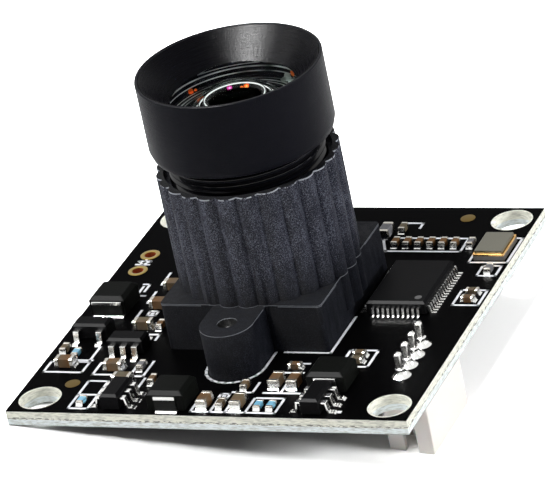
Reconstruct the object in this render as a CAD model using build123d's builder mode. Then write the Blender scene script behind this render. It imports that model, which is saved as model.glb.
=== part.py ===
"""Board camera: a square circuit board with a screwed-on lens holder and an M12 lens."""
import os
from math import sqrt

from build123d import *

# Circuit board
mount_pitch = 28.0
mount_inset = 2.0
board_size = mount_pitch + 2 * mount_inset
board_t = 1.2
mount_hole_d = 3.0

# Lens holder, one moulding
base_size = 13.0
base_h = 3.9
base_corner_r = 0.35
ear_pitch = 18.0
ear_r = 2.1
ear_h = 3.8
ear_hole_d = 1.5
tube_top = 12.9
tube_crest_r = 6.95
flute_count = 26
flute_r = 1.0
lens_bore_r = 6.0
bore_floor = 5.4
mouth_r = 6.4
mouth_depth = 0.6
floor_t = 1.0
light_window_r = 3.4
sensor_room = 10.4

# Lens barrel
thread_run_gap = 0.05
thread_core_depth = 0.25
glass_gap = 0.05
front_glass_r = 5.4
lip_shelf = 1.37
lip_wall = 0.22
hood_r = front_glass_r + glass_gap + lip_shelf + lip_wall
hood_top = 20.5
hood_bottom = 15.15
shoulder_in = 0.8
shoulder_corner_in = 0.18
shoulder_corner_z = 14.6
neck_top = 14.3
neck_bottom = 6.7
barrel_bore_r = 4.9
lip_seat = 17.9
front_seat = 16.6
inner_stop_r = 4.3
inner_stop_t = 1.0

# Glass, spacers and rings inside the barrel
face_gap = 0.02
front_apex = 19.9
sight_land = 0.65
front_sight_r = front_glass_r - sight_land
front_sight_sag = 1.65
back_land = 1.5
front_back_r = front_glass_r - back_land
front_glass_t = 1.17
cone_land = 0.05
cone_rim_drop = 0.04
mid_glass_t = 1.8
spacer_a_t = 1.2
third_glass_t = 1.7
spacer_b_t = 1.0
rear_glass_t = 1.6
rear_ring_t = 1.0
spacer_wall = 0.9
glass_land = 0.9
rear_ring_hole_r = 3.2

# Sensor under the lens
sensor_size = 8.0
sensor_t = 0.9
sensor_rim = 0.7
sensor_floor_t = 0.3
die_x = 5.2
die_y = 4.2
die_t = 0.25
cover_t = 0.4
cover_edge = 0.2
filter_size = 7.6
filter_t = 0.3
filter_recess = 0.5
filter_gap = 0.1

# Holder screws
screw_d = 1.4
screw_head_d = 2.9
screw_head_h = 1.1
screw_head_edge = 0.3
screw_reach = 2.8
screw_hole_gap = 0.15
recess_w = 0.35
recess_l = 1.5
recess_depth = 0.6

# Socket for the lead, under the board
socket_inset = 2.25
socket_x = board_size / 2 - socket_inset
socket_y = -7.45
socket_w = 3.5
socket_l = 7.5
socket_h = 4.6
socket_wall = 0.5
socket_floor = 1.2
socket_slot_w = 1.0
socket_slot_h = 2.6
pin_count = 4
pin_pitch = 1.5
pin_w = 0.5
pin_point = 0.1
pin_offset = -0.35
pin_tail = 1.9
pin_end_gap = 0.8
pin_hole_gap = 0.12
solder_r = 0.74
solder_h = 0.6
solder_taper = 20

# Signal processor, a flat pack with leads on four sides
chip_gap = 0.35
chip_y = 2.4
chip_w = 4.7
chip_l = 6.6
chip_t = 1.0
chip_standoff = 0.12
chip_chamfer = 0.18
chip_lead_pitch = 0.4
chip_count_across = 10
chip_count_along = 16
chip_lead_reach = 0.7
chip_x = base_size / 2 + chip_gap + chip_lead_reach + chip_w / 2

# Leads of the flat pack and of the small packages
lead_t = 0.13
chip_lead_w = 0.18
small_lead_w = 0.45
lead_foot = 0.35

# Small three, five and six lead packages
small_w = 1.45
small_l = 2.9
small_t = 1.2
small_exit = 0.8
small_pitch = 0.95
small_reach = 0.95
small_six_places = [(-7.5, -14.15), (8.5, -14.2)]
small_five_place = (-9.65, -6.7)
small_three_place = (-13.5, -4.6)

# Crystal
crystal_inset = 1.7
crystal_x = board_size / 2 - crystal_inset
crystal_y = 9.15
crystal_w = 2.5
crystal_l = 3.2
crystal_base_t = 0.55
crystal_lid_t = 0.25
crystal_lid_inset = 0.12

# Power inductors, square moulded blocks with a folded flat terminal on two sides
inductor_w = 3.0
inductor_l = 2.8
inductor_t = 1.55
inductor_edge = 0.3
terminal_t = 0.12
terminal_top = 1.3
terminal_fold = 0.7
wide_terminal_w = 2.5
narrow_terminal_w = 1.7
wide_inductor_place = (-13.5, -0.35)
narrow_inductor_places = [(-2.95, -14.2), (8.6, -11.1)]

# Chip parts: length, width, height and length of the plated end
large_chip = (1.5, 0.8, 0.75, 0.3)
small_chip = (1.0, 0.5, 0.5, 0.22)
flat_chip = (1.0, 0.52, 0.38, 0.2)
end_proud = 0.015
large_caps_up = [(-0.35, -14.45), (2.35, -14.45), (4.2, -11.35), (5.65, -11.35)]
large_caps_across = [(-13.9, -9.2), (-9.7, -9.6), (-8.15, -11.55), (-9.85, 2.7), (-9.85, -0.2), (-9.85, -3.4)]
small_caps_up = [(1.0, -14.6), (1.9, -11.9), (-5.8, -11.4), (-14.9, -7.1), (5.7, 12.2), (-8.5, -3.3)]
small_caps_across = [(4.8, -9.0), (9.2, -7.1), (9.3, -8.0), (14.8, 2.4), (14.8, 1.3)]
cap_row_x = 5.9
cap_row_y = 9.9
cap_row_pitch = 0.98
cap_row_count = 6
flat_resistors_up = [(4.0, -14.6), (5.0, -14.6), (-13.75, -7.55), (-10.3, -14.5)]
small_beads_up = [(12.1, 9.9), (14.9, 5.9), (-7.55, -9.4)]
large_beads_up = [(4.55, 11.5)]

# Plated holes near the left edge
eyelet_hole_r = 0.5
eyelet_places = [(-14.15, 8.0), (-14.15, 5.45)]

os.makedirs("parts", exist_ok=True)


def above_board(height):
    """Plane at a height above the top face of the board."""
    return Plane.XY.offset(board_t + height)


def save(piece, name):
    """Label a finished piece and write it."""
    piece.part.label = name
    export_step(piece.part, "parts/" + name + ".step")


def turned(points):
    """Solid of revolution about the lens axis from a closed profile of radius and height."""
    with BuildPart() as piece:
        with BuildSketch(Plane.XZ):
            with BuildLine():
                Polyline(*[(r, board_t + z) for r, z in points], close=True)
            make_face()
        revolve(axis=Axis.Z)
    return piece


# Circuit board with its holes for mounting, holder screws, pins and eyelets
pin_x = socket_x + pin_offset
pin_middle = Location((pin_x, socket_y))
with BuildPart() as circuit_board:
    with BuildSketch():
        Rectangle(board_size, board_size)
        with GridLocations(mount_pitch, mount_pitch, 2, 2):
            Circle(mount_hole_d / 2, mode=Mode.SUBTRACT)
        with GridLocations(0, ear_pitch, 1, 2):
            Circle(screw_d / 2 + screw_hole_gap, mode=Mode.SUBTRACT)
        with Locations(pin_middle):
            with GridLocations(0, pin_pitch, 1, pin_count):
                Rectangle(pin_w + 2 * pin_hole_gap, pin_w + 2 * pin_hole_gap, mode=Mode.SUBTRACT)
        with Locations(*eyelet_places):
            Circle(eyelet_hole_r, mode=Mode.SUBTRACT)
    extrude(amount=board_t)
save(circuit_board, "circuit_board")

# Lens holder: square base, two screw ears and a fluted tube around the thread
flute_centre_r = tube_crest_r - flute_r
with BuildPart() as lens_holder:
    with BuildSketch(above_board(0)):
        RectangleRounded(base_size, base_size, base_corner_r)
    extrude(amount=base_h)
    with BuildSketch(above_board(0)):
        SlotCenterToCenter(ear_pitch, 2 * ear_r, rotation=90)
    extrude(amount=ear_h)
    with BuildSketch(above_board(floor_t)):
        Circle(flute_centre_r)
        with PolarLocations(flute_centre_r, flute_count):
            Circle(flute_r)
    extrude(amount=tube_top - floor_t)
    with BuildSketch(above_board(bore_floor)):
        Circle(lens_bore_r)
    extrude(amount=tube_top - bore_floor, mode=Mode.SUBTRACT)
    filter_seat = bore_floor - floor_t + filter_recess
    with BuildSketch(above_board(tube_top)):
        Circle(mouth_r)
    extrude(amount=-mouth_depth, mode=Mode.SUBTRACT)
    with BuildSketch(above_board(0)):
        Rectangle(sensor_room, sensor_room)
    extrude(amount=base_h - floor_t, mode=Mode.SUBTRACT)
    with BuildSketch(above_board(0)):
        Rectangle(filter_size + 2 * filter_gap, filter_size + 2 * filter_gap)
    extrude(amount=filter_seat, mode=Mode.SUBTRACT)
    with BuildSketch(above_board(0)):
        Circle(light_window_r)
    extrude(amount=bore_floor, mode=Mode.SUBTRACT)
    with BuildSketch(above_board(0)):
        with GridLocations(0, ear_pitch, 1, 2):
            Circle(ear_hole_d / 2)
    extrude(amount=ear_h, mode=Mode.SUBTRACT)
save(lens_holder, "lens_holder")

# Lens barrel: neck that carries the fine thread, and a hood above the holder
neck_r = lens_bore_r - thread_core_depth - thread_run_gap
lip_r = hood_r - lip_wall
front_pocket_r = front_glass_r + glass_gap
stop_back = front_seat - inner_stop_t
lens_barrel = turned([
    (barrel_bore_r, neck_bottom), (neck_r, neck_bottom), (neck_r, neck_top),
    (hood_r - shoulder_in, neck_top), (hood_r - shoulder_corner_in, shoulder_corner_z),
    (hood_r, hood_bottom), (hood_r, hood_top), (lip_r, hood_top), (lip_r, lip_seat),
    (front_pocket_r, lip_seat), (front_pocket_r, front_seat), (inner_stop_r, front_seat),
    (inner_stop_r, stop_back), (barrel_bore_r, stop_back)])
save(lens_barrel, "lens_barrel")


def arc_radius(half_width, sag):
    """Radius of an arc from its half width and its rise."""
    return (half_width ** 2 + sag ** 2) / (2 * sag)


def drop(radius, at):
    """How far a spherical face has fallen at a distance from its top."""
    return radius - sqrt(radius ** 2 - at ** 2)


def dome(radius, apex, reach, side=1):
    """Spherical face from the edge to the axis; side is 1 when it bulges upwards."""
    half = reach / 2
    return ThreePointArc(
        (reach, board_t + apex - side * drop(radius, reach)),
        (half, board_t + apex - side * drop(radius, half)),
        (0, board_t + apex))


# Front glass, a meniscus: the dome seen in the hood, hollow behind
dome_r = arc_radius(front_sight_r, front_sight_sag)
hollow_apex = front_apex - front_glass_t
front_floor = front_seat + face_gap
hollow_r = arc_radius(front_back_r, hollow_apex - front_floor)
with BuildPart() as front_glass:
    with BuildSketch(Plane.XZ):
        with BuildLine():
            top = dome(dome_r, front_apex, front_glass_r)
            under = dome(hollow_r, hollow_apex, front_back_r)
            Line(top @ 1, under @ 1)
            Polyline(under @ 0, (front_glass_r, board_t + front_floor), top @ 0)
        make_face()
    revolve(axis=Axis.Z)
save(front_glass, "front_glass")

# Front ring, screwed in over the glass: its inner cone is the black funnel of the hood
sight_z = front_apex - front_sight_sag
ring_edge = glass_gap
ring_r = lip_r - glass_gap
front_ring = turned([
    (front_sight_r, sight_z + 2 * ring_edge),
    (ring_r - cone_land, hood_top - cone_rim_drop),
    (ring_r, hood_top - cone_rim_drop),
    (ring_r, lip_seat + face_gap),
    (front_pocket_r, lip_seat + face_gap),
    (front_sight_r, sight_z + ring_edge)])
save(front_ring, "front_ring")


def face(rim, height, sag, side):
    """One face of an element from its rim to the axis; side is 1 in front, and a sag of 0 is flat."""
    if sag == 0:
        return Line((rim, board_t + height), (0, board_t + height))
    bulge = 1 if sag > 0 else -1
    return dome(arc_radius(rim, abs(sag)), height + side * sag, rim, side * bulge)


def inner_glass(name, top, thickness, front_sag, back_sag):
    """Glass element in the barrel's bore; a negative sag is a hollow face."""
    radius = barrel_bore_r - glass_gap
    rim = radius - glass_land
    upper = top - max(front_sag, 0)
    lower = top - thickness + max(back_sag, 0)
    with BuildPart() as glass:
        with BuildSketch(Plane.XZ):
            with BuildLine():
                front = face(rim, upper, front_sag, 1)
                back = face(rim, lower, back_sag, -1)
                Line(front @ 1, back @ 1)
                Polyline(back @ 0, (radius, board_t + lower), (radius, board_t + upper), front @ 0)
            make_face()
        revolve(axis=Axis.Z)
    save(glass, name)


def spacer(name, top, thickness, hole_r):
    """Flat ring between two elements."""
    outer = barrel_bore_r - glass_gap
    ring = turned([(hole_r, top), (outer, top), (outer, top - thickness), (hole_r, top - thickness)])
    save(ring, name)


# Stack behind the stop: glass, spacer, glass, spacer, glass and the rear ring
spacer_hole_r = barrel_bore_r - spacer_wall
second_top = stop_back - face_gap
spacer_a_top = second_top - mid_glass_t - face_gap
third_top = spacer_a_top - spacer_a_t - face_gap
spacer_b_top = third_top - third_glass_t - face_gap
rear_top = spacer_b_top - spacer_b_t - face_gap
rear_ring_top = rear_top - rear_glass_t - face_gap
inner_glass("second_glass", second_top, mid_glass_t, 0, -0.6)
spacer("front_spacer", spacer_a_top, spacer_a_t, spacer_hole_r)
inner_glass("third_glass", third_top, third_glass_t, 0.4, 0)
spacer("rear_spacer", spacer_b_top, spacer_b_t, spacer_hole_r)
inner_glass("rear_glass", rear_top, rear_glass_t, 0, 0.35)
spacer("rear_ring", rear_ring_top, rear_ring_t, rear_ring_hole_r)

# Filter plate, bonded into the recess under the holder's floor
with BuildPart() as infrared_filter:
    with BuildSketch(above_board(filter_seat)):
        Rectangle(filter_size, filter_size)
    extrude(amount=-filter_t)
save(infrared_filter, "infrared_filter")

# Image sensor: open package, die in its well and the cover glass
with BuildPart() as sensor_package:
    with BuildSketch(above_board(0)):
        Rectangle(sensor_size, sensor_size)
    extrude(amount=sensor_t)
    with BuildSketch(above_board(sensor_floor_t)):
        Rectangle(sensor_size - 2 * sensor_rim, sensor_size - 2 * sensor_rim)
    extrude(amount=sensor_t - sensor_floor_t, mode=Mode.SUBTRACT)
save(sensor_package, "sensor_package")
with BuildPart() as sensor_die:
    with BuildSketch(above_board(sensor_floor_t)):
        Rectangle(die_x, die_y)
    extrude(amount=die_t)
save(sensor_die, "sensor_die")
with BuildPart() as sensor_cover:
    with BuildSketch(above_board(sensor_t)):
        Rectangle(sensor_size - 2 * cover_edge, sensor_size - 2 * cover_edge)
    extrude(amount=cover_t)
save(sensor_cover, "sensor_cover")

# Two screws up through the board into the ears, with a cross recess in each head
with BuildPart() as holder_screws:
    with BuildSketch():
        with GridLocations(0, ear_pitch, 1, 2):
            Circle(screw_head_d / 2)
    extrude(amount=-screw_head_h)
    chamfer(holder_screws.faces().sort_by(Axis.Z)[:2].edges(), screw_head_edge)
    with BuildSketch():
        with GridLocations(0, ear_pitch, 1, 2):
            Circle(screw_d / 2)
    extrude(amount=board_t + screw_reach)
    with BuildSketch(Plane.XY.offset(-screw_head_h)):
        with GridLocations(0, ear_pitch, 1, 2):
            Rectangle(recess_l, recess_w)
            Rectangle(recess_w, recess_l)
    extrude(amount=recess_depth, mode=Mode.SUBTRACT)
save(holder_screws, "holder_screws")

# Socket for the lead: a moulded shroud with its mouth down and a slot in each end
with BuildPart() as socket_housing:
    with BuildSketch():
        with Locations((socket_x, socket_y)):
            Rectangle(socket_w, socket_l)
    extrude(amount=-socket_h)
    with BuildSketch(Plane.XY.offset(-socket_h)):
        with Locations((socket_x, socket_y)):
            Rectangle(socket_w - 2 * socket_wall, socket_l - 2 * socket_wall)
    extrude(amount=socket_h - socket_floor, mode=Mode.SUBTRACT)
    with BuildSketch(Plane.XY.offset(-socket_h)):
        with Locations((socket_x, socket_y)):
            Rectangle(socket_slot_w, socket_l)
    extrude(amount=socket_slot_h, mode=Mode.SUBTRACT)
    with BuildSketch():
        with Locations(pin_middle):
            with GridLocations(0, pin_pitch, 1, pin_count):
                Rectangle(pin_w, pin_w)
    extrude(amount=-socket_floor, mode=Mode.SUBTRACT)
save(socket_housing, "socket_housing")
with BuildPart() as socket_pins:
    with BuildSketch(above_board(pin_tail)):
        with Locations(pin_middle):
            with GridLocations(0, pin_pitch, 1, pin_count):
                Rectangle(pin_w, pin_w)
    extrude(amount=-(pin_tail + board_t + socket_h - pin_end_gap))
    chamfer(socket_pins.faces().sort_by(Axis.Z)[-pin_count:].edges(), pin_point)
save(socket_pins, "socket_pins")
with BuildPart() as pin_solder:
    with BuildSketch(above_board(0)):
        with Locations(pin_middle):
            with GridLocations(0, pin_pitch, 1, pin_count):
                RegularPolygon(solder_r, 8)
    extrude(amount=solder_h, taper=solder_taper)
    with BuildSketch(above_board(0)):
        with Locations(pin_middle):
            with GridLocations(0, pin_pitch, 1, pin_count):
                Rectangle(pin_w, pin_w)
    extrude(amount=solder_h, mode=Mode.SUBTRACT)
save(pin_solder, "pin_solder")


def block(places, width, length, low, height, edge=0):
    """Upright blocks on the board, with their top edges bevelled where an edge is given."""
    with BuildPart() as blocks:
        with BuildSketch(above_board(low)):
            with Locations(*places):
                Rectangle(width, length)
        extrude(amount=height)
        if edge:
            chamfer(blocks.edges().group_by(Axis.Z)[-1], edge)
    return blocks


def gull_lead(height, reach, width):
    """One bent lead that leaves its package at the origin and runs outwards along +X."""
    knee = reach - lead_foot - lead_t
    with BuildPart() as lead:
        with BuildSketch(Plane.XZ):
            with BuildLine():
                Polyline(
                    (0, height), (knee - lead_t, height), (knee, 0), (reach, 0), (reach, lead_t),
                    (knee + lead_t, lead_t), (knee, height + lead_t), (0, height + lead_t), close=True)
            make_face()
        extrude(amount=width / 2, both=True)
    return lead.part


def lead_row(x, y, out, turn, count, pitch):
    """Where the leads of one package side stand: turn is the way they point, in degrees."""
    side = Plane(origin=(x, y, board_t), x_dir=Vector(1, 0, 0).rotate(Axis.Z, turn), z_dir=(0, 0, 1))
    return [side.location * Location((out, (i - (count - 1) / 2) * pitch, 0)) for i in range(count)]


# Signal processor and its leads
chip_mid = chip_standoff + chip_t / 2 - lead_t / 2
with BuildPart() as processor_body:
    with BuildSketch(above_board(chip_standoff)):
        with Locations((chip_x, chip_y)):
            Rectangle(chip_w, chip_l)
    extrude(amount=chip_t)
    chamfer(processor_body.edges().group_by(Axis.Z)[-1], chip_chamfer)
save(processor_body, "processor_body")
with BuildPart() as processor_leads:
    with Locations(
            *lead_row(chip_x, chip_y, chip_w / 2, 0, chip_count_along, chip_lead_pitch),
            *lead_row(chip_x, chip_y, chip_w / 2, 180, chip_count_along, chip_lead_pitch),
            *lead_row(chip_x, chip_y, chip_l / 2, 90, chip_count_across, chip_lead_pitch),
            *lead_row(chip_x, chip_y, chip_l / 2, 270, chip_count_across, chip_lead_pitch)):
        add(gull_lead(chip_mid, chip_lead_reach, chip_lead_w))
save(processor_leads, "processor_leads")

# Small packages: two with six leads, one with five and one with three
with BuildPart() as regulator_bodies:
    with BuildSketch(above_board(chip_standoff)):
        with Locations(*small_six_places):
            Rectangle(small_w, small_l)
        with Locations(small_five_place, small_three_place):
            Rectangle(small_l, small_w)
    extrude(amount=small_t)
    chamfer(regulator_bodies.edges().group_by(Axis.Z)[-1], chip_chamfer)
save(regulator_bodies, "regulator_bodies")
small_rows = []
for x, y in small_six_places:
    for way in (0, 180):
        small_rows += lead_row(x, y, small_w / 2, way, 3, small_pitch)
small_rows += lead_row(*small_five_place, small_w / 2, 270, 3, small_pitch)
small_rows += lead_row(*small_five_place, small_w / 2, 90, 2, 2 * small_pitch)
small_rows += lead_row(*small_three_place, small_w / 2, 270, 2, 2 * small_pitch)
small_rows += lead_row(*small_three_place, small_w / 2, 90, 1, small_pitch)
with BuildPart() as regulator_leads:
    with Locations(*small_rows):
        add(gull_lead(small_exit, small_reach, small_lead_w))
save(regulator_leads, "regulator_leads")

# Crystal: ceramic base with a metal lid
crystal_base = block([(crystal_x, crystal_y)], crystal_w, crystal_l, 0, crystal_base_t)
save(crystal_base, "crystal_base")
crystal_lid = block([(crystal_x, crystal_y)], crystal_w - 2 * crystal_lid_inset,
                    crystal_l - 2 * crystal_lid_inset, crystal_base_t, crystal_lid_t)
save(crystal_lid, "crystal_lid")

def folded_terminals(places, width):
    """Flat terminals that leave a body's two sides high up, turn down and fold under it."""
    with BuildPart() as terminal:
        with BuildSketch(Plane.XZ):
            with BuildLine():
                Polyline(
                    (-terminal_fold, 0), (terminal_t, 0), (terminal_t, terminal_top), (0, terminal_top),
                    (0, terminal_t), (-terminal_fold, terminal_t), close=True)
            make_face()
        extrude(amount=width / 2, both=True)
    spots = [spot for place in places for way in (90, 270)
             for spot in lead_row(*place, inductor_l / 2, way, 1, 0)]
    return [spot * terminal.part for spot in spots]


# Inductors on their flat terminals
inductor_bodies = block([wide_inductor_place, *narrow_inductor_places], inductor_w, inductor_l,
                        terminal_t, inductor_t, inductor_edge)
save(inductor_bodies, "inductor_bodies")
with BuildPart() as inductor_feet:
    add(folded_terminals([wide_inductor_place], wide_terminal_w))
    add(folded_terminals(narrow_inductor_places, narrow_terminal_w))
save(inductor_feet, "inductor_feet")


def chip_parts(groups, bodies_name, ends_name):
    """Chip parts as two nodes, their bodies and their plated ends; up is 1 when they lie along Y."""
    with BuildPart() as bodies:
        for (length, width, height, end), up, places in groups:
            with BuildSketch(above_board(end_proud)):
                with Locations(*places):
                    Rectangle(length - 2 * end, width, rotation=90 * up)
            extrude(amount=height - end_proud)
    save(bodies, bodies_name)
    with BuildPart() as ends:
        for (length, width, height, end), up, places in groups:
            step = (length - end) / 2
            spots = [(x + way * step * (1 - up), y + way * step * up)
                     for x, y in places for way in (-1, 1)]
            with BuildSketch(above_board(0)):
                with Locations(*spots):
                    Rectangle(end, width + 2 * end_proud, rotation=90 * up)
            extrude(amount=height + end_proud)
    save(ends, ends_name)


# Chip capacitors, resistors and beads
cap_row = [(cap_row_x + i * cap_row_pitch, cap_row_y) for i in range(cap_row_count)]
chip_parts([(large_chip, 1, large_caps_up), (large_chip, 0, large_caps_across),
            (small_chip, 1, small_caps_up + cap_row), (small_chip, 0, small_caps_across)],
           "capacitor_bodies", "capacitor_ends")
chip_parts([(flat_chip, 1, flat_resistors_up)], "resistor_bodies", "resistor_ends")
chip_parts([(small_chip, 1, small_beads_up), (large_chip, 1, large_beads_up)],
           "bead_bodies", "bead_ends")
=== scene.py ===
"""Board camera: finishes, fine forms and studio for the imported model."""
import math

import bpy
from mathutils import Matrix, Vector


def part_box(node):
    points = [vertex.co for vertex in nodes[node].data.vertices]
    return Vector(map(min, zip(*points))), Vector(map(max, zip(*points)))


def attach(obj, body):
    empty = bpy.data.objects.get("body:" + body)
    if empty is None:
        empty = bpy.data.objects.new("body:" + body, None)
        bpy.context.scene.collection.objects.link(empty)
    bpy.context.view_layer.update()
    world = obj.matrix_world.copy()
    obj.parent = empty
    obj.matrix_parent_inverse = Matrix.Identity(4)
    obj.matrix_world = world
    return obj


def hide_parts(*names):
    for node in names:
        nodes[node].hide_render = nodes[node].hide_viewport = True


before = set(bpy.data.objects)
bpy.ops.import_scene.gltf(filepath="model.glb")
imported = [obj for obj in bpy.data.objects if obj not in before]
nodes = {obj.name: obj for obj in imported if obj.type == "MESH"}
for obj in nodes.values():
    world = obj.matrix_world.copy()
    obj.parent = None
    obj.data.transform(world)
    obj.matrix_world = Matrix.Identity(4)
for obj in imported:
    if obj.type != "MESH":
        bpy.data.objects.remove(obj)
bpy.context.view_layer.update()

# Circuit board: fibreglass laminate under a black solder mask, routed to a square. The pale
# laminate is bare on the cut edges, in the corner holes and in a narrow ring round each of them.
mm = 0.001
board_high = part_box("circuit_board")[1]
board_top = board_high.z
board_half = board_high.x
mount_place = 14 * mm
mount_ring_r = 1.64 * mm
mask_black = (0.0012, 0.0012, 0.0014)
laminate_cream = (0.90, 0.90, 0.80)
laminate_pale = (0.88, 0.94, 0.95)
laminate_shade = (0.45, 0.46, 0.40)
fibre_dark = (0.10, 0.10, 0.09)
edge_skin = 0.02 * mm
mask_below, mask_above = 0.03 * mm, 0.035 * mm
fibre_low, fibre_high = 0.5 * mm, 0.66 * mm


class Value:
    """A shader socket that takes part in plain arithmetic."""

    def __init__(self, shading, socket):
        self.shading = shading
        self.socket = socket

    def maths(self, operation, *values):
        return self.shading.node("Math", {"operation": operation}, dict(enumerate(values)))

    def __add__(self, other):
        return self.maths("ADD", self, other)

    def __sub__(self, other):
        return self.maths("SUBTRACT", self, other)

    def __rsub__(self, other):
        return self.maths("SUBTRACT", other, self)

    def __mul__(self, other):
        return self.maths("MULTIPLY", self, other)

    def __pow__(self, other):
        return self.maths("POWER", self, other)

    def __gt__(self, other):
        return self.maths("GREATER_THAN", self, other)

    def __lt__(self, other):
        return self.maths("LESS_THAN", self, other)

    def __or__(self, other):
        return self.maths("MAXIMUM", self, other)

    def __and__(self, other):
        return self.maths("MINIMUM", self, other)

    def __abs__(self):
        return self.maths("ABSOLUTE", self)

    __radd__ = __add__
    __rmul__ = __mul__


def inside(value, low, high):
    """1 where a value lies between two limits."""
    return (value > low) * (value < high)


def distance(across, along):
    """Length of a step across and along."""
    return (across ** 2 + along ** 2) ** 0.5


class Shading:
    """Shader nodes of a material or the world; each one that is added comes from the method node."""

    def __init__(self, owner):
        owner.use_nodes = True
        self.tree = owner.node_tree

    def feed(self, socket, value):
        """Gives a socket a constant or a value that changes over the surface."""
        if isinstance(value, Value):
            self.tree.links.new(value.socket, socket)
        elif socket.type == "RGBA":
            socket.default_value = (*value, 1)
        else:
            socket.default_value = value

    def node(self, kind, settings=None, inputs=None, take=0):
        """Adds a node of this kind, sets it, then feeds its sockets; take names its output."""
        made = self.tree.nodes.new("ShaderNode" + kind)
        for key, value in (settings or {}).items():
            setattr(made, key, value)
        for key, value in (inputs or {}).items():
            self.feed(made.inputs[key], value)
        return Value(self, made.outputs[take])


class Finish(Shading):
    """A material with one Principled shader."""

    def __init__(self, name, colour, roughness, **constants):
        self.material = bpy.data.materials.new(name)
        super().__init__(self.material)
        self.shader = self.tree.nodes["Principled BSDF"]
        self.set("Base Color", colour)
        self.set("Roughness", roughness)
        for socket, value in constants.items():
            self.set(socket.replace("_", " "), value)

    def set(self, socket, value):
        """Feeds one of the shader's own sockets."""
        self.feed(self.shader.inputs[socket], value)

    def place(self):
        return self.node("TexCoord", take="Object")

    def axis(self, name):
        return self.node("SeparateXYZ", None, {0: self.place()}, name)

    def from_axis(self):
        """Distance from the lens axis."""
        return distance(self.axis("X"), self.axis("Y"))

    def mix(self, amount, under, over):
        """Colour that goes from under to over as amount goes from 0 to 1."""
        return self.node("Mix", {"data_type": "RGBA"}, {0: amount, 6: under, 7: over}, 2)

    def grain(self, size, detail=2.0, stretch=(1, 1, 1)):
        """Noise with features of this size, drawn out along an axis by stretch."""
        spread = tuple(1 / s for s in stretch)
        where = self.node("Mapping", None, {"Vector": self.place(), "Scale": spread})
        return self.node("TexNoise", None, {"Vector": where, "Scale": 1 / size, "Detail": detail}, "Fac")

    def near(self, x, y, z, reach):
        """1 within reach of a point, all in millimetres with z above the board's face."""
        point = (x * mm, y * mm, board_top + z * mm)
        gap = self.node("VectorMath", {"operation": "DISTANCE"}, {0: self.place(), 1: point}, "Value")
        return gap < reach * mm

    def rough_up(self, height, depth):
        """Relief from a height that runs from 0 to 1."""
        self.set("Normal", self.node("Bump", None, {"Height": height, "Distance": depth}, "Normal"))

    def put_on(self, *pieces):
        for piece in pieces:
            piece.data.materials.clear()
            piece.data.materials.append(self.material)


board_finish = Finish("board", mask_black, 0.42, Specular_IOR_Level=0.004)
across, along, up = (board_finish.axis(name) for name in "XYZ")
from_hole = distance(abs(across) - mount_place, abs(along) - mount_place)
at_edge = (abs(across) | abs(along)) > board_half - edge_skin
below_mask = inside(up, mask_below, board_top - mask_above)
bare = at_edge * below_mask | (from_hole < mount_ring_r)
weave = board_finish.grain(0.2 * mm, 3, (2.4, 2.4, 0.6))
dashes = inside(up, fibre_low, fibre_high) * (board_finish.grain(0.24 * mm, 2, (1.8, 1.8, 0.4)) > 0.52)
glue = board_finish.mix(up < fibre_low, laminate_cream, laminate_pale)
laminate = board_finish.mix((weave - 0.42) * 2.4, glue, laminate_shade)
laminate = board_finish.mix(dashes * at_edge * 0.8, laminate, fibre_dark)
board_finish.set("Base Color", board_finish.mix(bare, mask_black, laminate))
board_finish.set("Roughness", 0.42 + 0.3 * bare)
board_finish.put_on(nodes["circuit_board"])

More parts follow.
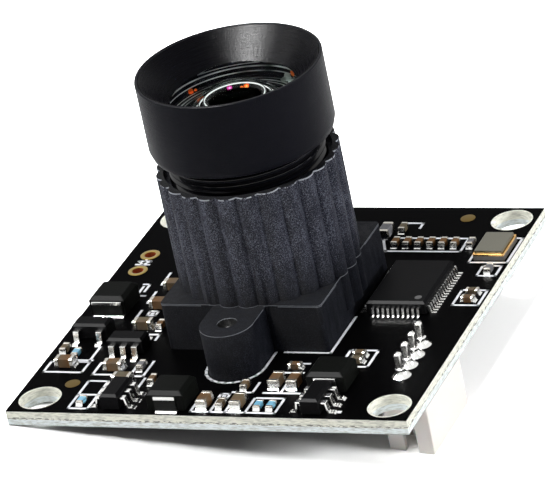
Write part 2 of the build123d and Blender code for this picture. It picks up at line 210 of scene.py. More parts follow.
# Board print: white ink in a thin film that outlines the parts, marks the diode between the two
# eyelets and frames the lens holder. The lines are plain strokes with square ends.
ink_width = 0.2 * mm
ink_t = 0.02 * mm
ear_ring_r = 2.3
ear_out = 9.0
print_lines = [
    # round the front ear and along the holder's base
    [(-2.35, -8.6), (-ear_ring_r, -ear_out)]
    + [(ear_ring_r * math.sin(t), -ear_out - ear_ring_r * math.cos(t))
       for t in (math.radians(-90 + 15 * i) for i in range(13))]
    + [(ear_ring_r, -6.75)],
    [(3.0, -6.68), (6.68, -6.68), (6.68, -1.3)],
    # left edge
    [(-11.2, 5.1), (-11.2, 3.3)], [(-11.2, 2.1), (-11.2, 0.4)], [(-11.2, -0.8), (-11.2, -2.6)],
    [(-12.7, 3.3), (-12.2, 3.3), (-12.2, 2.2)],
    [(-15.4, -10.2), (-12.2, -10.2), (-12.2, -8.65), (-15.4, -8.65), (-15.4, -10.2)],
    [(-14.1, -8.4), (-12.1, -8.4)], [(-12.3, -6.4), (-12.3, -8.4)],
    [(-11.1, -15.4), (-9.5, -15.4), (-9.5, -11.4), (-11.1, -11.4), (-11.1, -15.4)],
    [(-11.1, -13.4), (-9.5, -13.4)],
    [(-11.2, -8.75), (-11.2, -10.45), (-8.6, -10.45)],
    [(-8.1, -8.4), (-8.1, -10.6), (-7.0, -10.6), (-7.0, -8.4)],
    [(-9.5, -12.35), (-6.7, -12.35), (-6.7, -10.9)],
    # front edge
    [(-1.15, -13.4), (-1.15, -15.45), (3.2, -15.45), (3.2, -13.45)],
    [(0.4, -15.45), (0.4, -13.6)], [(1.6, -15.45), (1.6, -13.6)],
    [(3.35, -13.35), (5.55, -13.35), (5.55, -15.45), (3.35, -15.45)],
    [(1.15, -12.6), (2.7, -12.6), (2.7, -11.2)],
    [(3.6, -12.6), (6.4, -12.6)], [(4.92, -12.4), (4.92, -10.4)],
    [(8.1, -8.6), (8.1, -6.2), (10.3, -6.2), (10.3, -8.6), (8.1, -8.6)],
    [(4.1, -8.3), (5.6, -8.3)], [(4.1, -9.65), (5.6, -9.65)],
    # right edge
    [(13.7, 0.7), (15.75, 0.7), (15.75, 3.0), (13.7, 3.0), (13.7, 0.7)],
    [(14.1, 5.2), (15.6, 5.2), (15.6, 6.75), (14.1, 6.75), (14.1, 5.2)],
    [(12.75, 7.25), (15.85, 7.25), (15.85, 11.1), (12.75, 11.1), (12.75, 7.25)],
    # back row
    [(4.3, 11.3), (5.3, 9.0), (5.4, 8.9), (11.5, 8.9), (11.5, 11.0), (5.6, 11.0)],
    [(6.9, 12.6), (6.9, 13.4), (5.2, 13.4)],
    # diode between the eyelets
    [(-14.65, 6.95), (-14.15, 6.42), (-13.65, 6.95), (-14.65, 6.95)], [(-14.7, 6.42), (-13.6, 6.42)],
    [(-14.15, 7.2), (-14.15, 6.95)],
    # small open squares, and strokes between the chips left of the holder
    [(0.3, -12.85), (1.0, -12.85), (1.0, -13.5), (0.3, -13.5), (0.3, -12.85)],
    [(-10.45, -0.85), (-9.75, -0.85), (-9.75, -1.5), (-10.45, -1.5), (-10.45, -0.85)],
    [(-9.3, -2.7), (-8.6, -2.7)], [(-9.3, -4.4), (-8.2, -4.4), (-8.2, -5.2)],
    [(-12.6, 2.9), (-12.6, 1.5), (-11.9, 1.5)],
]
print_spots = [(0.65, -13.2), (-10.1, -1.2), (10.5, -15.05), (-13.1, 1.9), (12.6, 13.6)]
spot_size = 0.3 * mm


def pick(*pieces):
    """Selects these pieces alone, in object mode, with the first one active."""
    if bpy.context.object and bpy.context.object.mode != "OBJECT":
        bpy.ops.object.mode_set(mode="OBJECT")
    bpy.ops.object.select_all(action="DESELECT")
    for piece in pieces:
        piece.select_set(True)
    if pieces:
        bpy.context.view_layer.objects.active = pieces[0]


def patch(x, y, length, width, turn):
    """A flat printed patch on the board."""
    bpy.ops.mesh.primitive_plane_add(size=1, location=(x, y, board_top), rotation=(0, 0, turn))
    bpy.context.object.scale = (length, width, 1)
    return bpy.context.object


def join(pieces):
    """Makes one mesh of several, with their places applied."""
    pick(*pieces)
    if len(pieces) > 1:
        bpy.ops.object.join()
    bpy.ops.object.transform_apply(location=True, rotation=True, scale=True)
    return bpy.context.object


def add_piece(piece, name, body, finish):
    """Names a finished piece, gives it its finish and lets it ride on its body."""
    piece.name = name
    piece.data.name = name
    finish.put_on(piece)
    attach(piece, body)


pick()
ink = []
for line in print_lines:
    points = [Vector(point) * mm for point in line]
    for start, end in zip(points, points[1:]):
        run, middle = end - start, (start + end) / 2
        ink.append(patch(*middle, run.length + ink_width, ink_width, math.atan2(run.y, run.x)))
for x, y in print_spots:
    ink.append(patch(x * mm, y * mm, spot_size, spot_size, 0))
board_print = join(ink)
film = board_print.modifiers.new("film", "SOLIDIFY")
film.thickness = ink_t
film.offset = 1
ink_finish = Finish("white_ink", (0.85, 0.87, 0.92), 0.6)
add_piece(board_print, "board_print", "board", ink_finish)

# Bare copper: two plated eyelets near the left edge, each a rolled ring with its lining down the
# hole, and two round marks that the placing machine looks for. The copper is left gold-brown. The
# lining down each hole is painted dark red and not metallic: copper's colour darkened as painted shade.
eyelets = [(-14.15, 8.0), (-14.15, 5.45)]
eyelet_r = 0.78 * mm
eyelet_hole_r = 0.46 * mm
copper_t = 0.05 * mm
marks = [(-12.25, -11.85), (10.3, 14.25)]
mark_r = 0.58 * mm
ring_steps = 40
rolled_gold = (0.30, 0.22, 0.07)
lining_shaded_red = (0.30, 0.05, 0.008)
weld_gap = 0.0005 * mm
sharp_angle = 35


def draw(points):
    """Draws a chain of edges through points, from a plane merged to its middle, and selects it."""
    pick()
    bpy.ops.mesh.primitive_plane_add(size=mm)
    bpy.ops.object.mode_set(mode="EDIT")
    bpy.ops.mesh.merge(type="CENTER")
    bpy.ops.transform.translate(value=points[0])
    for here, there in zip(points, points[1:]):
        step = tuple(b - a for a, b in zip(here, there))
        bpy.ops.mesh.extrude_vertices_move(TRANSFORM_OT_translate={"value": step})
    bpy.ops.mesh.select_all(action="SELECT")


def close_mesh():
    """Merges doubles, turns the faces outwards and smooths all but the sharp edges."""
    bpy.ops.mesh.select_all(action="SELECT")
    bpy.ops.mesh.remove_doubles(threshold=weld_gap)
    bpy.ops.mesh.normals_make_consistent(inside=False)
    bpy.ops.object.mode_set(mode="OBJECT")
    bpy.ops.object.shade_smooth_by_angle(angle=math.radians(sharp_angle))
    return bpy.context.object


def draw_and_spin(profile, steps, centre=(0, 0)):
    """Draws a profile of radius and height and spins it into a closed solid."""
    x, y = centre
    draw([(x + r, y, z) for r, z in profile])
    bpy.ops.mesh.spin(steps=steps, angle=math.tau, center=(x, y, 0), axis=(0, 0, 1))
    return close_mesh()


def duplicate(piece):
    """A copy of a piece, with its own mesh."""
    pick(piece)
    bpy.ops.object.duplicate()
    return bpy.context.object


def copied(piece, steps):
    """The piece and a copy of it at each step away from it."""
    pieces = [piece]
    for x, y in steps:
        pieces.append(duplicate(piece))
        bpy.ops.transform.translate(value=(x, y, 0))
    return pieces


first, second = (Vector(place) * mm for place in eyelets)
eyelet_top = board_top + copper_t
eyelet = draw_and_spin(
    [(eyelet_hole_r, -copper_t / 2), (eyelet_hole_r, eyelet_top - copper_t / 2),
     (eyelet_hole_r + copper_t, eyelet_top), (eyelet_r - copper_t, eyelet_top),
     (eyelet_r, board_top + copper_t / 2), (eyelet_r, board_top - copper_t),
     (eyelet_hole_r + copper_t / 2, board_top - copper_t),
     (eyelet_hole_r + copper_t / 2, -copper_t / 2), (eyelet_hole_r, -copper_t / 2)],
    ring_steps, first)
copper_finish = Finish("bare_copper", rolled_gold, 0.3)
rolled_over = copper_finish.axis("Z") > board_top
# Painted shade: below the board's face the lining is dark red and not metallic.
copper_finish.set("Base Color", copper_finish.mix(rolled_over, lining_shaded_red, rolled_gold))
copper_finish.set("Metallic", rolled_over)
add_piece(join(copied(eyelet, [second - first])), "eyelets", "board", copper_finish)

first, second = (Vector(place) * mm for place in marks)
mark = draw_and_spin(
    [(0, board_top), (mark_r, board_top), (mark_r, board_top + copper_t / 2),
     (mark_r * 0.82, board_top + copper_t), (0, board_top + copper_t)], ring_steps, first)
mark_finish = Finish("bare_mark", (0.13, 0.085, 0.02), 0.45, Specular_IOR_Level=0.1)
add_piece(join(copied(mark, [second - first])), "placing_marks", "board", mark_finish)

# Lens holder: one moulding of dark grey filled plastic, screwed to the board. Its skin has the
# rough grain of the mould, and the flutes of the tube catch the light along their crests. Painted
# shade makes the base near black, fading out up the foot of the tube, and the tube's end face and
# the ear holes near black; pale bands under the top edges are painted highlights.
holder_grey = (0.010, 0.0105, 0.017)
holder_pale = (0.12, 0.13, 0.17)
holder_fleck_and_highlight = (0.36, 0.38, 0.42)
holder_shade_black = (0.0022, 0.0026, 0.0045)
ear_hole_shade_black = (0.0005, 0.0005, 0.0006)
holder_edge = 0.09 * mm
soft_angle = 40
base_top = board_top + 3.9 * mm
tube_fade = 3.5 * mm
ear_top = board_top + 3.8 * mm
ear_hole_r = 0.78 * mm
ear_edge_out = 7.2 * mm
rim_inner_r = 6.3 * mm
tube_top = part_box("lens_holder")[1].z
tube_top_skin = tube_top - 0.012 * mm


def bevel(piece, width, segments, angle):
    """Adds a live bevel to the edges that turn by more than an angle."""
    edges = piece.modifiers.new("edges", "BEVEL")
    edges.width = width
    edges.segments = segments
    edges.limit_method = "ANGLE"
    edges.angle_limit = math.radians(angle)
    return edges


def soften(node, width, segments=2):
    """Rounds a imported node's edges with live modifiers; its own mesh stays as it is."""
    weld = node.modifiers.new("weld", "WELD")
    weld.merge_threshold = 0.001 * mm
    bevel(node, width, segments, soft_angle)


def band_under_edge(height, top):
    """1 in the thin band just under an edge at this height."""
    return inside(height, top - 0.075 * mm, top - 0.015 * mm)


holder_finish = Finish("holder_plastic", holder_grey, 0.55, Specular_IOR_Level=0.065)
height = holder_finish.axis("Z")
from_axis = holder_finish.from_axis()
from_ear = distance(holder_finish.axis("X"), abs(holder_finish.axis("Y")) - ear_out * mm)
cloud = holder_finish.grain(0.6 * mm, 4, (1, 1, 2.5))
fine = holder_finish.grain(0.055 * mm, 2, (1, 1, 1.6))
tube = ((height - base_top) * (1 / tube_fade) | 0.0) & 1.0
speckle = ((fine + cloud * 0.28 - 0.63) * 4.5 | 0.0) & 1.0
sparkle = (holder_finish.grain(0.06 * mm, 1) > 0.71) * tube
# Painted shade: near black on the base, fading out over the foot of the tube.
skin = holder_finish.mix(tube, holder_shade_black, holder_grey)
skin = holder_finish.mix(speckle * (0.12 + 0.88 * tube), skin, holder_pale)
skin = holder_finish.mix(sparkle * 0.6, skin, holder_fleck_and_highlight)
# Painted shade: the tube's end face is near black.
skin = holder_finish.mix(height > tube_top_skin, skin, holder_shade_black)
# Painted shade: the holes in the ears are near black.
skin = holder_finish.mix(from_ear < ear_hole_r, skin, ear_hole_shade_black)
# Painted highlights: pale bands under the top edges of the tube, base and ears, broken on the tube.
rim = inside(height, tube_top - 0.12 * mm, tube_top_skin) * (from_axis > rim_inner_r)
ledge = band_under_edge(height, base_top) | band_under_edge(height, ear_top) * (from_axis > ear_edge_out)
painted_edge_highlight = rim * (holder_finish.grain(0.5 * mm, 2) > 0.46) | ledge * 0.4
holder_finish.set("Base Color", holder_finish.mix(painted_edge_highlight, skin, holder_fleck_and_highlight))
holder_finish.set("Roughness", 0.75 - 0.35 * cloud)
holder_finish.rough_up((cloud * 0.35 + fine * 0.45) * (0.25 + 0.75 * tube), 0.12 * mm)
holder_finish.put_on(nodes["lens_holder"])
soften(nodes["lens_holder"], holder_edge)

# Holder screws: two plated steel screws, driven up through the board, whose tips show as bright
# discs down in the holes of the ears.
steel_finish = Finish("screw_steel", (0.72, 0.72, 0.70), 0.25, Metallic=1.0)
steel_finish.put_on(nodes["holder_screws"])
screw_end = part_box("holder_screws")[1].z
screw_core_r = 0.62 * mm
small_steps = 24
point = draw_and_spin(
    [(0, screw_end - 0.1 * mm), (screw_core_r, screw_end - 0.1 * mm), (screw_core_r, screw_end + 0.2 * mm),
     (0.16 * mm, screw_end + 0.62 * mm), (0, screw_end + 0.65 * mm)], small_steps, (0, -ear_out * mm))
screw_points = join(copied(point, [(0, 2 * ear_out * mm)]))
add_piece(screw_points, "screw_points", "board", steel_finish)

# Lens barrel: one piece of aluminium, turned and anodised black, with a thin lip round the hood and
# a neck for the thread. Pale rings, a pale patch and orange glints in its pocket and on the glass
# seat are painted reflections, metallic, for what the front glass mirrors.
barrel_low, barrel_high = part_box("lens_barrel")
hood_r = barrel_high.x
hood_top = barrel_high.z
neck_bottom = barrel_low.z
neck_r = 5.7 * mm
neck_top = board_top + 14.3 * mm
shoulder_z = board_top + 14.6 * mm
shoulder = [(hood_r - 0.8 * mm, neck_top), (hood_r - 0.18 * mm, shoulder_z),
            (hood_r, board_top + 15.15 * mm)]
lip_r = hood_r - 0.22 * mm
lip_seat = board_top + 17.9 * mm
glass_pocket_r = 5.45 * mm
glass_seat = board_top + 16.6 * mm
stop_r = 4.3 * mm
stop_back = glass_seat - 1.0 * mm
bore_r = 4.9 * mm
turned_steps = 128
barrel_edge = 0.06 * mm
barrel_edge_angle = 25
barrel_sharp_angle = 30
hood_black = (0.004, 0.0042, 0.007)
ring_dim = (0.12, 0.15, 0.14)
ring_bright = (0.95, 1.0, 0.98)
glint_orange = (1.0, 0.20, 0.03)


def anodised(name, colour, roughness, gloss, beyond=0.0):
    """Black dye in the oxide skin of aluminium; the turning shows beyond a distance from the axis."""
    finish = Finish(name, colour, roughness, Specular_IOR_Level=gloss)
    turning = finish.grain(0.05 * mm, 2, (30, 30, 1))
    sparkle = finish.grain(0.07 * mm, 1)
    finish.set("Roughness", roughness - 0.08 + 0.16 * turning)
    finish.rough_up((turning * 0.4 + sparkle * 0.6) * (finish.from_axis() > beyond), 0.03 * mm)
    return finish


barrel = draw_and_spin(
    [(bore_r, neck_bottom), (neck_r, neck_bottom), (neck_r, neck_top), *shoulder,
     (hood_r, hood_top), (lip_r, hood_top), (lip_r, lip_seat), (glass_pocket_r, lip_seat),
     (glass_pocket_r, glass_seat), (stop_r, glass_seat), (stop_r, stop_back),
     (bore_r, stop_back), (bore_r, neck_bottom)], turned_steps)
barrel_edges = bevel(barrel, barrel_edge, 3, barrel_edge_angle)
pick(barrel)
bpy.ops.object.modifier_apply(modifier=barrel_edges.name)
bpy.ops.object.shade_smooth_by_angle(angle=math.radians(barrel_sharp_angle))
hood_finish = anodised("hood_black", hood_black, 0.34, 0.05, stop_r + 2 * mm)
pocket_rings = [(16.95, 0.04), (17.3, 0.045), (17.5, 0.02), (17.7, 0.06), (18.0, 0.03)]
seat_rings = [(4.5, 0.03), (4.78, 0.06), (5.12, 0.035)]
side_glints = [(-4.73, 2.7, 16.7, 0.22), (-4.5, 3.05, 16.62, 0.12), (2.49, 4.85, 17.05, 0.22)]
seat_reflection_patch = [(1.9, 4.9, 16.6, 0.42), (2.5, 4.6, 16.6, 0.3)]
# Painted reflections: metallic pale rings, a pale patch and orange glints in the pocket and seat.
out = hood_finish.from_axis()
up = hood_finish.axis("Z")
bright = hood_finish.near(*seat_reflection_patch[0]) | hood_finish.near(*seat_reflection_patch[1])
for r, half in seat_rings:
    bright = bright | (abs(out - r * mm) < half * mm)
for z, half in pocket_rings:
    bright = bright | (abs(up - (board_top + z * mm)) < half * mm)
in_pocket = (out < glass_pocket_r + 0.05 * mm) * (up > glass_seat - 0.05 * mm)
reflection_silver = hood_finish.mix((hood_finish.grain(2.2 * mm, 1) - 0.4) * 5, ring_dim, ring_bright)
colour = hood_finish.mix(bright * in_pocket, hood_black, reflection_silver)
for spot in side_glints:
    glint = hood_finish.near(*spot)
    colour, bright = hood_finish.mix(glint * in_pocket, colour, glint_orange), bright | glint
hood_finish.set("Metallic", bright * in_pocket)
hood_finish.set("Base Color", colour)
add_piece(barrel, "barrel_body", "barrel", hood_finish)
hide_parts("lens_barrel")

# Focus thread: a black ridge of 0.5 mm pitch, cut into the neck with the barrel, that winds down
# into the holder and sets the focus as the lens is turned.
thread_pitch = 0.5 * mm
thread_root = neck_r - 0.02 * mm
thread_crest = thread_root + 0.26 * mm
thread_flank = thread_pitch * 0.4
thread_flat = thread_pitch * 0.12
thread_low = neck_bottom + 0.1 * mm
thread_turns = 14
thread_steps = 64
draw([(thread_root, 0, thread_low), (thread_crest, 0, thread_low + thread_flank),
      (thread_crest, 0, thread_low + thread_flank + thread_flat),
      (thread_root, 0, thread_low + 2 * thread_flank + thread_flat)])
bpy.ops.mesh.edge_face_add()
bpy.ops.mesh.delete(type="ONLY_FACE")
bpy.ops.object.mode_set(mode="OBJECT")
thread = bpy.context.object
winding = thread.modifiers.new("winding", "SCREW")
winding.screw_offset = thread_pitch
winding.iterations = thread_turns
winding.steps = winding.render_steps = thread_steps
bpy.ops.object.modifier_apply(modifier=winding.name)
bpy.ops.object.mode_set(mode="EDIT")
bpy.ops.mesh.select_all(action="SELECT")
bpy.ops.mesh.remove_doubles(threshold=weld_gap)
bpy.ops.mesh.select_all(action="SELECT")
bpy.ops.mesh.fill_holes(sides=0)
close_mesh()
thread_finish = Finish("thread", (0.003, 0.003, 0.004), 0.12, Specular_IOR_Level=0.25)
add_piece(thread, "focus_thread", "barrel", thread_finish)

# Front ring: an anodised funnel screwed in over the glass. Its cone is finely turned and shows a
# soft light band; the outer part fills the hood under the lip.
ring_low, ring_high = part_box("front_ring")
ring_r = ring_high.x
sight_r = 4.75 * mm
sight_sag = 1.65 * mm
glass_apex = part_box("front_glass")[1].z
ring_edge = 0.05 * mm
sight_z = glass_apex - sight_sag + ring_edge
cone_rim_r = ring_r - 0.05 * mm
ring_foot_z = ring_low.z
ring_face_z = ring_high.z
front_ring = draw_and_spin(
    [(sight_r, sight_z + ring_edge), (cone_rim_r, ring_face_z), (ring_r, ring_face_z),
     (ring_r, ring_foot_z), (glass_pocket_r, ring_foot_z), (sight_r, sight_z),
     (sight_r, sight_z + ring_edge)], turned_steps)
cone_finish = anodised("funnel_black", (0.001, 0.001, 0.002), 0.28, 0.034)
add_piece(front_ring, "funnel_ring", "barrel", cone_finish)
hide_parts("front_ring")

# Front glass: a deep meniscus, polished and coated, held under the ring. The coating takes away
# nearly all that the glass would reflect, so the index here is far below that of real glass.
glass_low, glass_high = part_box("front_glass")
glass_r = glass_high.x
dome_r = (sight_r ** 2 + sight_sag ** 2) / (2 * sight_sag)
hollow_apex = glass_apex - 1.17 * mm
hollow_rim_r = 3.9 * mm
hollow_sag = hollow_apex - glass_low.z
hollow_r = (hollow_rim_r ** 2 + hollow_sag ** 2) / (2 * hollow_sag)


def arc(radius, apex, reach, steps=20):
    """Points of a spherical face from the axis out to its reach."""
    return [(r, apex - radius + math.sqrt(radius ** 2 - r ** 2))
            for r in (reach * i / steps for i in range(steps + 1))]


def coated_glass(name, tint, bend=1.05):
    """Clear glass whose coating takes away most of what it reflects and colours the rest."""
    return Finish(name, (0.97, 0.99, 0.98), 0.0, Transmission_Weight=1.0, IOR=bend, Specular_Tint=tint)


front_glass = draw_and_spin(
    [*arc(dome_r, glass_apex, glass_r), (glass_r, glass_low.z), (hollow_rim_r, glass_low.z),
     *reversed(arc(hollow_r, hollow_apex, hollow_rim_r)[:-1])], turned_steps)
front_finish = coated_glass("front_coating", (0.02, 0.002, 0.014), 1.025)
add_piece(front_glass, "front_lens", "optics", front_finish)
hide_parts("front_glass")

# Light baffle: a polished black moulding that climbs in round steps from the stop into the hollow
# of the front glass. Its crests are painted bright as highlights, to show through the glass as nested
# arcs, and small orange and magenta glints on the lip are painted reflections of the coatings.
baffle_steps = [(3.62, 16.82), (3.25, 17.22), (2.85, 17.6), (2.4, 17.92)]
step_round = 0.13 * mm
hole_r = 1.9 * mm
lip_round = 0.22 * mm
step_turns = [math.radians(22.5 * i) for i in range(9)]
baffle_wide = stop_r - 0.02 * mm
baffle_foot = stop_back + 0.05 * mm
baffle_ledge = glass_seat - 0.1 * mm
stair = [(baffle_wide, baffle_ledge)]
for r, z in baffle_steps:
    edge_r, edge_z = r * mm - step_round, board_top + z * mm - step_round
    stair.append((r * mm, stair[-1][1]))
    stair += [(edge_r + step_round * math.cos(t), edge_z + step_round * math.sin(t)) for t in step_turns]
lip_z = stair[-1][1] - lip_round
lip = [(hole_r + lip_round - lip_round * math.sin(t), lip_z + lip_round * math.cos(t))
       for t in step_turns[:5]]
baffle = draw_and_spin(
    [*stair, *lip, (hole_r, baffle_foot), (baffle_wide, baffle_foot), stair[0]], turned_steps)
baffle_black = (0.001, 0.001, 0.001)
crest_highlight_white = (0.95, 0.98, 0.98)
baffle_finish = Finish("baffle_black", baffle_black, 0.1, Specular_IOR_Level=0.12)
out = baffle_finish.from_axis()
up = baffle_finish.axis("Z")
# Painted highlights on the crests and painted reflections as glints on the lip, both metallic.
colour, lit = baffle_black, 0.0
for r, z in baffle_steps:
    crest = inside(out, (r - 0.25) * mm, (r - 0.01) * mm) * (up > board_top + (z - 0.07) * mm)
    colour, lit = baffle_finish.mix(crest, colour, crest_highlight_white), crest | lit
glints = [(0.15, 2.0, 17.7, 0.22, (1.0, 0.16, 0.02)), (-0.22, 1.93, 17.6, 0.13, (1.0, 0.22, 0.04)),
          (0.17, 1.98, 17.68, 0.1, (1.0, 0.55, 0.15)), (-1.12, 1.68, 17.72, 0.2, (0.85, 0.08, 0.5)),
          (-1.1, 1.66, 17.7, 0.09, (1.0, 0.5, 0.9)), (-1.12, 1.54, 17.56, 0.13, (0.8, 0.05, 0.35))]
for x, y, z, r, tint in glints:
    glint = baffle_finish.near(x, y, z, r)
    colour, lit = baffle_finish.mix(glint, colour, tint), glint | lit
baffle_finish.set("Base Color", colour)
baffle_finish.set("Metallic", lit)
add_piece(baffle, "light_baffle", "barrel", baffle_finish)

# Stack in the barrel: three more elements between anodised spacers, held by the rear ring. Each
# has a coating of its own that tints the little it reflects.
coated_glass("second_coating", (1.0, 0.16, 0.04)).put_on(nodes["second_glass"])
coated_glass("third_coating", (0.9, 0.08, 0.5)).put_on(nodes["third_glass"])
coated_glass("rear_coating", (0.2, 0.6, 0.3)).put_on(nodes["rear_glass"])
anodised("spacer_black", (0.002, 0.002, 0.002), 0.5, 0.05, hood_top).put_on(
    nodes["front_spacer"], nodes["rear_spacer"], nodes["rear_ring"])

# Filter and sensor: a pink-cast filter plate under the holder's floor, and the sensor's dark
# ceramic package with its die under a cover glass, soldered to the board inside the holder.
Finish("filter_glass", (0.9, 0.55, 0.6), 0.0, Transmission_Weight=1.0, IOR=1.5).put_on(
    nodes["infrared_filter"])
Finish("cover_glass", (0.95, 0.98, 0.97), 0.0, Transmission_Weight=1.0, IOR=1.5).put_on(
    nodes["sensor_cover"])
Finish("sensor_ceramic", (0.06, 0.05, 0.045), 0.6).put_on(nodes["sensor_package"])
Finish("sensor_die", (0.10, 0.09, 0.13), 0.15, Metallic=0.6).put_on(nodes["sensor_die"])

# Socket for the lead: white nylon under the board's right side, with its mouth down. Its four
# square pins come up through the board, where each stands in a bright cone of solder.
socket_finish = Finish("white_nylon", (0.92, 0.87, 0.83), 0.5, Subsurface_Weight=0.1,
                       Subsurface_Scale=0.5 * mm)
socket_finish.put_on(nodes["socket_housing"])
soften(nodes["socket_housing"], 0.12 * mm)
tin_finish = Finish("bright_tin", (0.80, 0.79, 0.77), 0.22, Metallic=1.0)
tin_finish.put_on(nodes["socket_pins"])
soften(nodes["socket_pins"], 0.1 * mm, 3)
pins_low, pins_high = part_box("socket_pins")
pin_w = pins_high.x - pins_low.x
pin_x = (pins_low.x + pins_high.x) / 2
pin_first_y = pins_low.y + pin_w / 2
pin_count = 4
pin_pitch = (pins_high.y - pins_low.y - pin_w) / (pin_count - 1)
solder_foot_r = 0.72 * mm
solder_waist_r = 0.4 * mm
solder_h = 0.62 * mm
solder_steps = 9
joint_steps = 32
cone = [(solder_waist_r + (solder_foot_r - solder_waist_r) * (1 - i / solder_steps) ** 2.4,
         board_top + solder_h * i / solder_steps) for i in range(solder_steps + 1)]
joint = draw_and_spin(
    [(0, board_top - copper_t), (solder_foot_r, board_top - copper_t), *cone,
     (solder_waist_r * 0.6, board_top + solder_h * 1.12), (0, board_top + solder_h * 1.16)],
    joint_steps, (pin_x, pin_first_y))
solder_finish = Finish("solder", (0.82, 0.82, 0.80), 0.16, Metallic=1.0)
solder_finish.rough_up(solder_finish.grain(0.35 * mm, 2), 0.05 * mm)
joints = join(copied(joint, [(0, pin_pitch * i) for i in range(1, pin_count)]))
add_piece(joints, "pin_joints", "board", solder_finish)
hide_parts("pin_solder")

# Signal processor and the small packages: black moulded epoxy on bent leads of tinned copper. The
# processor has a moulded dot beside its first lead.
epoxy_finish = Finish("black_epoxy", (0.004, 0.004, 0.0045), 0.45, Specular_IOR_Level=0.02)
epoxy_finish.rough_up(epoxy_finish.grain(0.06 * mm, 2), 0.006 * mm)
epoxy_finish.put_on(nodes["processor_body"], nodes["regulator_bodies"])
lead_finish = Finish("tinned_lead", (0.80, 0.80, 0.78), 0.2, Metallic=1.0)
lead_finish.put_on(nodes["processor_leads"], nodes["regulator_leads"])
soften(nodes["regulator_leads"], 0.03 * mm)
chip_low, chip_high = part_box("processor_body")
dot_r = 0.28 * mm
dot_in = 0.75 * mm
dot_top = chip_high.z + 0.01 * mm
dot = draw_and_spin(
    [(0, chip_high.z - dot_r), (dot_r, chip_high.z - dot_r), (dot_r, chip_high.z + 0.004 * mm),
     (dot_r * 0.7, dot_top), (0, dot_top)], small_steps, (chip_high.x - dot_in, chip_low.y + dot_in))
dot_finish = Finish("moulded_dot", (0.05, 0.05, 0.05), 0.3)
add_piece(dot, "pin_one_dot", "board", dot_finish)

# Crystal: a dark ceramic base whose rim is gold plated, closed by a seam-welded satin lid. It is
# soldered to the board near its right edge.
ceramic_dark = (0.08, 0.07, 0.06)
rim_gold = (0.75, 0.45, 0.16)
gold_h = 0.16 * mm
crystal_finish = Finish("crystal_base", ceramic_dark, 0.5)
rim = crystal_finish.axis("Z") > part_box("crystal_base")[1].z - gold_h
crystal_finish.set("Base Color", crystal_finish.mix(rim, ceramic_dark, rim_gold))
crystal_finish.set("Metallic", rim)
crystal_finish.set("Roughness", 0.55 - 0.3 * rim)
crystal_finish.put_on(nodes["crystal_base"])
soften(nodes["crystal_base"], 0.06 * mm)
lid_finish = Finish("crystal_lid", (0.14, 0.135, 0.105), 0.32, Metallic=0.9)
lid_finish.put_on(nodes["crystal_lid"])
soften(nodes["crystal_lid"], 0.08 * mm)

# Power inductors: pressed black ferrite powder round a coil. A flat terminal leaves two of the
# sides high up and is folded down the body to the board. Its fold and its foot are bare tin;
# between them it is painted black and not metallic, as painted shade.
ferrite_finish = Finish("pressed_ferrite", (0.003, 0.0035, 0.003), 0.5, Specular_IOR_Level=0.02)
ferrite_finish.rough_up(ferrite_finish.grain(0.12 * mm, 3), 0.012 * mm)
ferrite_finish.put_on(nodes["inductor_bodies"])
soften(nodes["inductor_bodies"], 0.08 * mm)
foot_tin = (0.80, 0.80, 0.78)
terminal_shade_black = (0.004, 0.0045, 0.004)
foot_h = 0.14 * mm
fold_h = 0.24 * mm
foot_finish = Finish("inductor_terminal", foot_tin, 0.2, Specular_IOR_Level=0.06)
up = foot_finish.axis("Z")
# Painted shade: between fold and foot the terminal is black and not metallic.
bare_tin = (up < board_top + foot_h) | (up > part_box("inductor_feet")[1].z - fold_h)
foot_finish.set("Base Color", foot_finish.mix(bare_tin, terminal_shade_black, foot_tin))
foot_finish.set("Metallic", bare_tin)
foot_finish.set("Roughness", 0.5 - 0.3 * bare_tin)
foot_finish.put_on(nodes["inductor_feet"])
soften(nodes["inductor_feet"], 0.04 * mm)

# Chip capacitors, resistors and beads: fired ceramic blocks with tinned ends. The capacitors run
# from tan to grey, the resistors have a pale blue glaze, and the beads are dull grey.
clay_tan = (0.15, 0.075, 0.028)
clay_grey = (0.12, 0.10, 0.065)
clay_finish = Finish("capacitor_clay", clay_tan, 0.5, Specular_IOR_Level=0.08)
batch = clay_finish.grain(2.4 * mm, 0)
clay_finish.set("Base Color", clay_finish.mix((batch - 0.35) * 3.0, clay_tan, clay_grey))
clay_finish.put_on(nodes["capacitor_bodies"])
glaze_finish = Finish("resistor_glaze", (0.20, 0.50, 0.70), 0.25, Coat_Weight=0.5)
glaze_finish.put_on(nodes["resistor_bodies"])
bead_finish = Finish("bead_grey", (0.17, 0.17, 0.18), 0.5, Specular_IOR_Level=0.1)
bead_finish.put_on(nodes["bead_bodies"])
end_finish = Finish("tinned_end", (0.50, 0.48, 0.43), 0.24, Metallic=1.0)
end_finish.rough_up(end_finish.grain(0.12 * mm, 2), 0.02 * mm)
chip_kinds = ("capacitor", "resistor", "bead")
for kind in chip_kinds:
    end_finish.put_on(nodes[kind + "_ends"])
    soften(nodes[kind + "_bodies"], 0.05 * mm)
    soften(nodes[kind + "_ends"], 0.07 * mm, 3)

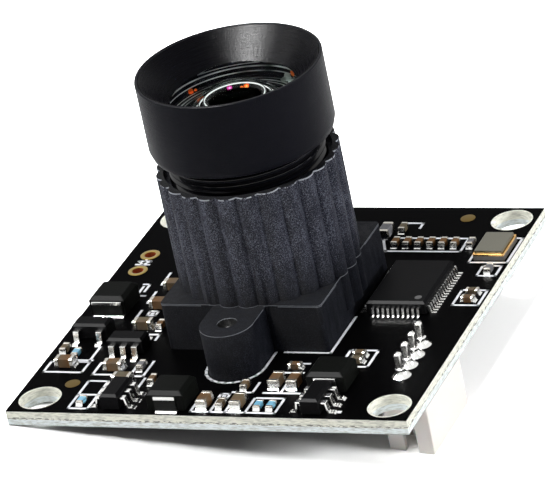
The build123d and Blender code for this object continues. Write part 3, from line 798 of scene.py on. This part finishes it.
# Solder on the board: a small slope of solder runs out from every chip's end and from the foot
# of every lead of the small packages, onto its pad.
slope_run = 0.18 * mm
slope_outline = [(0, 0), (1, 0), (1, 0.07), (0.55, 0.2), (0.25, 0.5), (0, 1)]
slope_tuck = 0.02 * mm
chip_rise, lead_rise, foot_rise = 0.75, 0.22, 0.16
draw([(x, -0.5, z) for x, z in slope_outline])
bpy.ops.mesh.edge_face_add()
bpy.ops.mesh.extrude_region_move(TRANSFORM_OT_translate={"value": (0, 1, 0)})
bpy.ops.mesh.select_all(action="SELECT")
bpy.ops.mesh.normals_make_consistent(inside=False)
bpy.ops.object.mode_set(mode="OBJECT")
slope = bpy.context.object


def loose_boxes(node):
    """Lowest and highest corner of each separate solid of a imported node, read from a copy."""
    spare = node.copy()
    spare.data = node.data.copy()
    spare.modifiers.clear()
    bpy.context.scene.collection.objects.link(spare)
    pick(spare)
    bpy.ops.object.mode_set(mode="EDIT")
    bpy.ops.mesh.select_all(action="SELECT")
    bpy.ops.mesh.remove_doubles(threshold=weld_gap)
    bpy.ops.mesh.separate(type="LOOSE")
    bpy.ops.object.mode_set(mode="OBJECT")
    boxes = []
    for part in list(bpy.context.selected_objects):
        corners = [vertex.co for vertex in part.data.vertices]
        boxes.append((Vector(map(min, zip(*corners))), Vector(map(max, zip(*corners)))))
        bpy.data.objects.remove(part)
    return boxes


def solder_slopes(bodies, ends, rise):
    """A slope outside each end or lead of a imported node, on the side away from its own body."""
    middles = [(low + high) / 2 for low, high in loose_boxes(bodies)]
    slopes = []
    for low, high in loose_boxes(ends):
        middle, size = (low + high) / 2, high - low
        away = middle - min(middles, key=lambda body: (body - middle).length)
        out_x = abs(away.x) > abs(away.y) if ends.name != "regulator_leads" else size.x > size.y
        turn = math.pi * (away.x < 0) if out_x else math.copysign(math.pi / 2, away.y)
        reach, width = (size.x / 2, size.y) if out_x else (size.y / 2, size.x)
        out = Vector((math.cos(turn), math.sin(turn), 0)) * (reach - slope_tuck)
        spot = duplicate(slope)
        spot.rotation_euler.z = turn
        spot.location = Vector((middle.x, middle.y, board_top)) + out
        spot.scale = (slope_run, width, size.z * rise)
        slopes.append(spot)
    return slopes


slopes = []
for kind in chip_kinds:
    slopes += solder_slopes(nodes[kind + "_bodies"], nodes[kind + "_ends"], chip_rise)
slopes += solder_slopes(nodes["regulator_bodies"], nodes["regulator_leads"], lead_rise)
slopes += solder_slopes(nodes["inductor_bodies"], nodes["inductor_feet"], foot_rise)
bpy.data.objects.remove(slope)
add_piece(join(slopes), "solder_slopes", "board", solder_finish)

# Studio: the board stands on the floor on its left edge and on the socket under its right side,
# so the plain white floor is tilted in the part's frame. Its gain, for camera rays alone, takes the
# lit floor to white. The camera was fitted to the photo, and the lamps were set to its light.
socket_drop = 4.6
board_run = 31.5
floor_slope = math.atan(socket_drop / board_run)
floor_edge_x = -board_half
floor_width = 1.6
floor_clear = 0.02 * mm
floor_white = 0.97
floor_gain = 2.4
room_glow = 0.1
aim = Vector((0, 0, 8 * mm))
pick()
bpy.ops.mesh.primitive_plane_add(size=floor_width, location=(floor_edge_x, 0, -floor_clear),
                                 rotation=(0, floor_slope, 0))
floor = bpy.context.object
floor.name = "floor"
floor_finish = Finish("floor", (floor_white, floor_white, floor_white), 1.0, Specular_IOR_Level=0.0)
plain = Value(floor_finish, floor_finish.shader.outputs[0])
lifted = floor_finish.node("BsdfDiffuse", None, {"Color": (floor_gain, floor_gain, floor_gain)})
from_camera = floor_finish.node("LightPath", take="Is Camera Ray")
seen = floor_finish.node("MixShader", None, {0: from_camera, 1: plain, 2: lifted})
floor_finish.feed(floor_finish.tree.nodes["Material Output"].inputs["Surface"], seen)
floor_finish.put_on(floor)

world = bpy.data.worlds.new("studio")
bpy.context.scene.world = world
sky = Shading(world)
background = sky.tree.nodes["Background"]
sky.feed(background.inputs["Color"], (1, 1, 1))
to_diffuse = sky.node("LightPath", take="Is Diffuse Ray")
sky.feed(background.inputs["Strength"], 1 - (1 - room_glow) * to_diffuse)


def lamp(kind, name, place, **settings):
    """A lamp that faces the lens holder."""
    bpy.ops.object.light_add(type=kind, location=place)
    light = bpy.context.object
    light.name = name
    for key, value in settings.items():
        setattr(light.data, key, value)
    light.visible_glossy = kind == "AREA"
    light.visible_transmission = False
    light.rotation_euler = (aim - Vector(place)).to_track_quat("-Z", "Y").to_euler()


lamp("SUN", "top_lamp", (0.05, 0.14, 0.99), energy=0.9, angle=math.radians(7))
lamp("AREA", "front_lamp", (-0.04, -0.22, 0.42), size=0.12, energy=0.6)
lamp("AREA", "right_lamp", (0.42, 0.05, 0.12), size=0.10, energy=1.35)
lamp("AREA", "left_lamp", (-0.42, -0.10, 0.24), size=0.12, energy=1.4)
for side in (-1, 1):
    lamp("AREA", "gleam_lamp", (-0.125 + side * 0.035, -0.24 + side * 0.01, 0.43), size=0.045, energy=14)
    bpy.context.object.visible_diffuse = False

camera_place = (137.171 * mm, -272.259 * mm, 156.615 * mm)
camera_turn = tuple(math.radians(turn) for turn in (63.2814, 10.6484, 20.9145))
bpy.ops.object.camera_add(location=camera_place, rotation=camera_turn)
camera = bpy.context.object
camera.data.lens = 296.866
camera.data.sensor_width = 36
camera.data.shift_x = -0.0498
camera.data.shift_y = -0.01835
camera.data.clip_start = 0.01
camera.data.clip_end = 10
bpy.context.scene.camera = camera
bpy.context.scene.view_settings.view_transform = "Standard"
